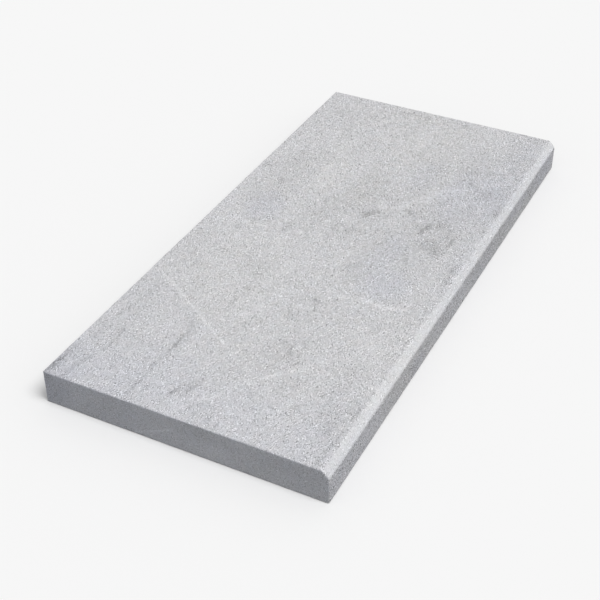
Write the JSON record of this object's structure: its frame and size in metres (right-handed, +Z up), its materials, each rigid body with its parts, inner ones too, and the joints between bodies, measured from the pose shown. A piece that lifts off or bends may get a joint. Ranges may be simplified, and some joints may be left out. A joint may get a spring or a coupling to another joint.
{
  "type": "wall coping stone",
  "caption": "Flat rectangular stone slab that caps a wall, with one long top edge chamfered and a sandblasted top face.",
  "frame": {"origin": "middle of the bed face, on which the stone lies", "axes": "+X along the length of the stone and of the wall, +Y across the wall towards the square long edge, so the chamfered long edge faces -Y, +Z up through the top face"},
  "size_m": [0.6, 0.28, 0.035],
  "materials": {
    "stone": "pale grey stone, top face sandblasted, chamfer ground smooth, end faces sawn"
  },
  "bodies": {
    "root": {"coping_stone": "stone"}
  },
  "joints": []
}
